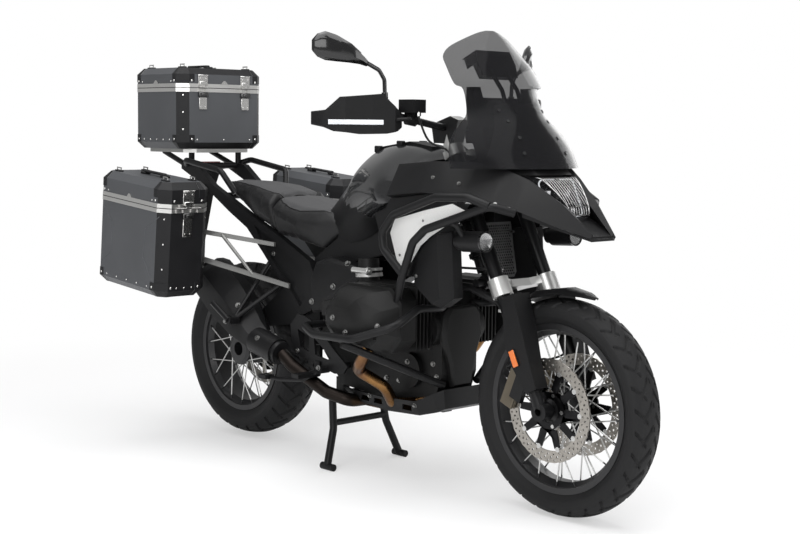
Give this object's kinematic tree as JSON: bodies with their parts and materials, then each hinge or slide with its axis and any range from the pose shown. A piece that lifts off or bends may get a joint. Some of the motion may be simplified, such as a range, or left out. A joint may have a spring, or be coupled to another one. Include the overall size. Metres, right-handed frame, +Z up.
{
  "type": "adventure motorcycle",
  "caption": "Tall touring motorcycle with a flat twin engine, shaft drive, wire-spoked wheels, crash bars, windscreen and hard luggage cases, standing on its centre stand.",
  "frame": {"origin": "on the floor, half way along and across the whole motorcycle", "axes": "+X forward, +Y to the rider's left, +Z up"},
  "size_m": [2.3576, 0.976, 1.444],
  "materials": {
    "black_powder_coat": "fine textured powder coat",
    "dark_grey_gloss": "gloss metallic clear coat",
    "silver_satin": "satin silver paint",
    "black_plastic": "grained moulded plastic",
    "gloss_plastic": "polished",
    "fork_silver": "blasted aluminium",
    "bare_aluminium": "anodised",
    "bronze_steel": "heat tinted stainless steel",
    "disc_steel": "ground steel",
    "caliper": "hard anodised",
    "tyre_rubber": "moulded rubber",
    "seat_cover": "grained vinyl",
    "smoked_screen": "tinted polycarbonate",
    "lamp_lens": "clear lens",
    "red_lens": "red lens",
    "case_panel": "anthracite powder coat",
    "engine_coat": "matt engine paint"
  },
  "bodies": {
    "frame": {"main_frame": "black_powder_coat", "rear_subframe": "black_powder_coat", "engine_block": "engine_coat", "cylinders": "engine_coat", "exhaust_headers": "bronze_steel", "silencer": "black_powder_coat", "skid_plate": "black_powder_coat", "swingarm": "engine_coat", "rear_shock": "black_powder_coat", "front_suspension_arm": "engine_coat", "front_strut": "black_powder_coat", "fuel_tank": "dark_grey_gloss", "tank_side_panels": "silver_satin", "radiator_shrouds": "black_plastic", "nose_fairing": "black_plastic", "headlight": "lamp_lens", "windscreen": "smoked_screen", "instrument_panel": "black_plastic", "rider_seat": "seat_cover", "passenger_seat": "seat_cover", "top_case": "case_panel", "panniers": "case_panel", "luggage_rack": "black_powder_coat", "pannier_carriers": "bare_aluminium", "upper_crash_bars": "black_powder_coat", "lower_crash_bars": "black_powder_coat", "auxiliary_lamps": "gloss_plastic", "footrests": "black_powder_coat", "rear_mudguard": "black_plastic", "tail_lamp": "red_lens"},
    "steering": {"fork_legs": "black_powder_coat", "fork_bridge": "fork_silver", "handlebar": "black_powder_coat", "hand_controls": "black_plastic", "hand_guards": "black_plastic", "mirrors": "gloss_plastic", "front_mudguard": "black_plastic", "front_calipers": "caliper"},
    "front_wheel": {"front_tyre": "tyre_rubber", "front_wheel_rim": "black_powder_coat", "front_brake_discs": "disc_steel"},
    "rear_wheel": {"rear_tyre": "tyre_rubber", "rear_wheel_rim": "black_powder_coat", "rear_brake_disc": "disc_steel"},
    "centre_stand": {"centre_stand": "black_powder_coat"},
    "side_stand": {"side_stand": "black_powder_coat"},
    "top_case_lid": {"top_case_lid": "case_panel"},
    "pannier_lid_left": {"pannier_lid_left": "case_panel"},
    "pannier_lid_right": {"pannier_lid_right": "case_panel"}
  },
  "joints": [
    {"name": "steering", "type": "hinge", "parent": "frame", "child": "steering", "pos_m": [0.46689, 0, 1.01076], "axis": [-0.4415, 0, 0.8973], "range_deg": [-36, 36]},
    {"name": "front_wheel_spin", "type": "hinge", "parent": "steering", "child": "front_wheel", "pos_m": [0.85225, 0, 0.3265], "axis": [0, 1, 0], "continuous": true},
    {"name": "rear_wheel_spin", "type": "hinge", "parent": "frame", "child": "rear_wheel", "pos_m": [-0.66575, 0, 0.327], "axis": [0, 1, 0], "continuous": true},
    {"name": "centre_stand_fold", "type": "hinge", "parent": "frame", "child": "centre_stand", "pos_m": [-0.08175, 0, 0.245], "axis": [0, 1, 0], "range_deg": [0, 96]},
    {"name": "side_stand_fold", "type": "hinge", "parent": "frame", "child": "side_stand", "pos_m": [0.07325, 0.165, 0.27], "axis": [0, 0.9537, 0.3007], "range_deg": [-95, 0]},
    {"name": "top_case_lid_hinge", "type": "hinge", "parent": "frame", "child": "top_case_lid", "pos_m": [-0.84475, 0, 1.28625], "axis": [0, 1, 0], "range_deg": [0, 95]},
    {"name": "pannier_lid_left_hinge", "type": "hinge", "parent": "frame", "child": "pannier_lid_left", "pos_m": [-0.52801, 0.3845, 0.86057], "axis": [0, 1, 0], "range_deg": [0, 95]},
    {"name": "pannier_lid_right_hinge", "type": "hinge", "parent": "frame", "child": "pannier_lid_right", "pos_m": [-0.52801, -0.3845, 0.86057], "axis": [0, 1, 0], "range_deg": [0, 95]}
  ]
}
